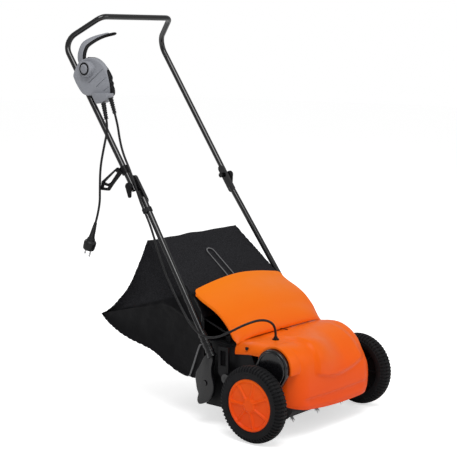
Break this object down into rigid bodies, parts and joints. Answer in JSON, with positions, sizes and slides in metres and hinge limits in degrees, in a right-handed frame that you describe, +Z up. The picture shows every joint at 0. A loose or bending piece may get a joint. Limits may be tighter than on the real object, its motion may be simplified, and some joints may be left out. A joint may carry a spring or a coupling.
{
  "type": "electric lawn rake",
  "caption": "Walk-behind electric lawn scarifier: bladed reel under an orange hood, two front wheels, rear roller, folding tube handle with switch box and lead, rear fabric grass bag.",
  "frame": {"origin": "on the ground, under the middle of the whole machine", "axes": "+Z up; the front (hood and wheels) faces -Y and the operator stands on the +Y side; left and right are the operator's, so left is +X and the motor and switch box side, the right, is -X"},
  "size_m": [0.514, 0.8155, 1.08],
  "materials": {
    "black_shell": "fine textured moulding",
    "orange_shell": "glossy moulding",
    "black_tube": "gloss black paint",
    "zinc": "zinc plated",
    "tyre": "moulded tread",
    "bag_cloth": "woven, coated",
    "grey_plastic": "fine textured moulding",
    "lead": "smooth sheath",
    "iron": "laminated core and windings"
  },
  "bodies": {
    "chassis": {"chassis": "black_shell", "front_hood": "orange_shell", "hood_screws": "zinc", "flap_hinge_pin": "zinc", "flap_spring": "zinc", "motor_housing": "black_tube", "drive_belt": "lead", "belt_cover": "black_shell", "reel_bearing_left": "zinc", "reel_bearing_right": "zinc", "roller_axle": "zinc", "lower_tube_left": "black_tube", "lower_tube_right": "black_tube", "handle_bracket_left": "black_shell", "handle_bracket_right": "black_shell", "bracket_bolts": "zinc", "joint_bolts": "zinc", "motor_lead_loop": "lead", "cable_gland": "black_shell", "cable_clip": "black_shell"},
    "rear_flap": {"rear_flap": "orange_shell"},
    "rotor": {"motor_shaft": "zinc", "armature": "iron", "cooling_fan": "black_shell", "motor_pulley": "zinc"},
    "reel": {"reel_shaft": "zinc", "reel_pulley": "black_shell", "reel_blades": "zinc", "reel_spacers": "black_shell"},
    "rear_roller": {"rear_roller": "black_shell"},
    "wheel_carrier": {"carrier_shaft": "zinc", "carrier_arm_left": "black_tube", "carrier_arm_right": "black_tube", "stub_axle_left": "zinc", "stub_axle_right": "zinc", "height_lever": "black_shell"},
    "wheel_left": {"tyre_left": "tyre", "rim_left": "black_shell", "hub_cap_left": "orange_shell"},
    "wheel_right": {"tyre_right": "tyre", "rim_right": "black_shell", "hub_cap_right": "orange_shell"},
    "bag": {"bag": "bag_cloth", "bag_strap": "bag_cloth", "bag_frame": "black_tube", "bag_hooks": "black_shell"},
    "upper_handle": {"upper_handle_tube": "black_tube", "switch_box_front": "grey_plastic", "switch_box_back": "black_shell", "microswitch": "black_shell", "strain_reliefs": "black_shell", "cable_hook": "black_shell", "mains_cord": "lead", "motor_lead_upper": "lead", "plug": "black_shell", "plug_pins": "zinc"},
    "switch_lever": {"switch_lever": "grey_plastic"},
    "lock_button": {"lock_button": "grey_plastic"},
    "joint_knob_left": {"joint_knob_left": "black_shell"},
    "joint_knob_right": {"joint_knob_right": "black_shell"}
  },
  "joints": [
    {"name": "upper_fold", "type": "hinge", "parent": "chassis", "child": "upper_handle", "pos_m": [0, 0.1415, 0.616], "axis": [1, 0, 0], "range_deg": [0, 115], "deforming": ["motor_lead_upper"]},
    {"name": "height_adjust", "type": "hinge", "parent": "chassis", "child": "wheel_carrier", "pos_m": [0, -0.2, 0.14], "axis": [1, 0, 0], "range_deg": [0, 12]},
    {"name": "wheel_left_spin", "type": "hinge", "parent": "wheel_carrier", "child": "wheel_left", "pos_m": [0.2345, -0.314, 0.1], "axis": [1, 0, 0], "continuous": true},
    {"name": "wheel_right_spin", "type": "hinge", "parent": "wheel_carrier", "child": "wheel_right", "pos_m": [-0.2345, -0.314, 0.1], "axis": [1, 0, 0], "continuous": true},
    {"name": "reel_spin", "type": "hinge", "parent": "chassis", "child": "reel", "pos_m": [0, -0.285, 0.084], "axis": [1, 0, 0], "continuous": true},
    {"name": "motor_spin", "type": "hinge", "parent": "chassis", "child": "rotor", "pos_m": [-0.12, -0.344, 0.19], "axis": [1, 0, 0], "continuous": true},
    {"name": "roller_spin", "type": "hinge", "parent": "chassis", "child": "rear_roller", "pos_m": [0, -0.186, 0.025], "axis": [1, 0, 0], "continuous": true},
    {"name": "flap_hinge", "type": "hinge", "parent": "chassis", "child": "rear_flap", "pos_m": [0, -0.222, 0.249], "axis": [1, 0, 0], "range_deg": [0, 55], "stiffness_Nm_per_rad": 0.3, "springref_deg": -17.19},
    {"name": "bag_slide", "type": "slide", "parent": "chassis", "child": "bag", "axis": [0, 0.9397, 0.3419], "range_m": [0, 0.1]},
    {"name": "lever_pivot", "type": "hinge", "parent": "upper_handle", "child": "switch_lever", "pos_m": [-0.195, 0.297, 0.929], "axis": [-1, 0, 0], "range_deg": [0, 8], "stiffness_Nm_per_rad": 2, "springref_deg": -11.46},
    {"name": "lock_button_slide", "type": "slide", "parent": "upper_handle", "child": "lock_button", "axis": [1, 0, 0], "range_m": [0, 0.004], "stiffness_N_per_m": 300, "springref_m": -0.002},
    {"name": "knob_left_turn", "type": "hinge", "parent": "chassis", "child": "joint_knob_left", "pos_m": [0.208, 0.1415, 0.616], "axis": [1, 0, 0], "continuous": true},
    {"name": "knob_right_turn", "type": "hinge", "parent": "chassis", "child": "joint_knob_right", "pos_m": [-0.208, 0.1415, 0.616], "axis": [1, 0, 0], "continuous": true}
  ],
  "couplings": [
    {"joint": "motor_spin", "follows": "reel_spin", "ratio": 2.1429}
  ]
}
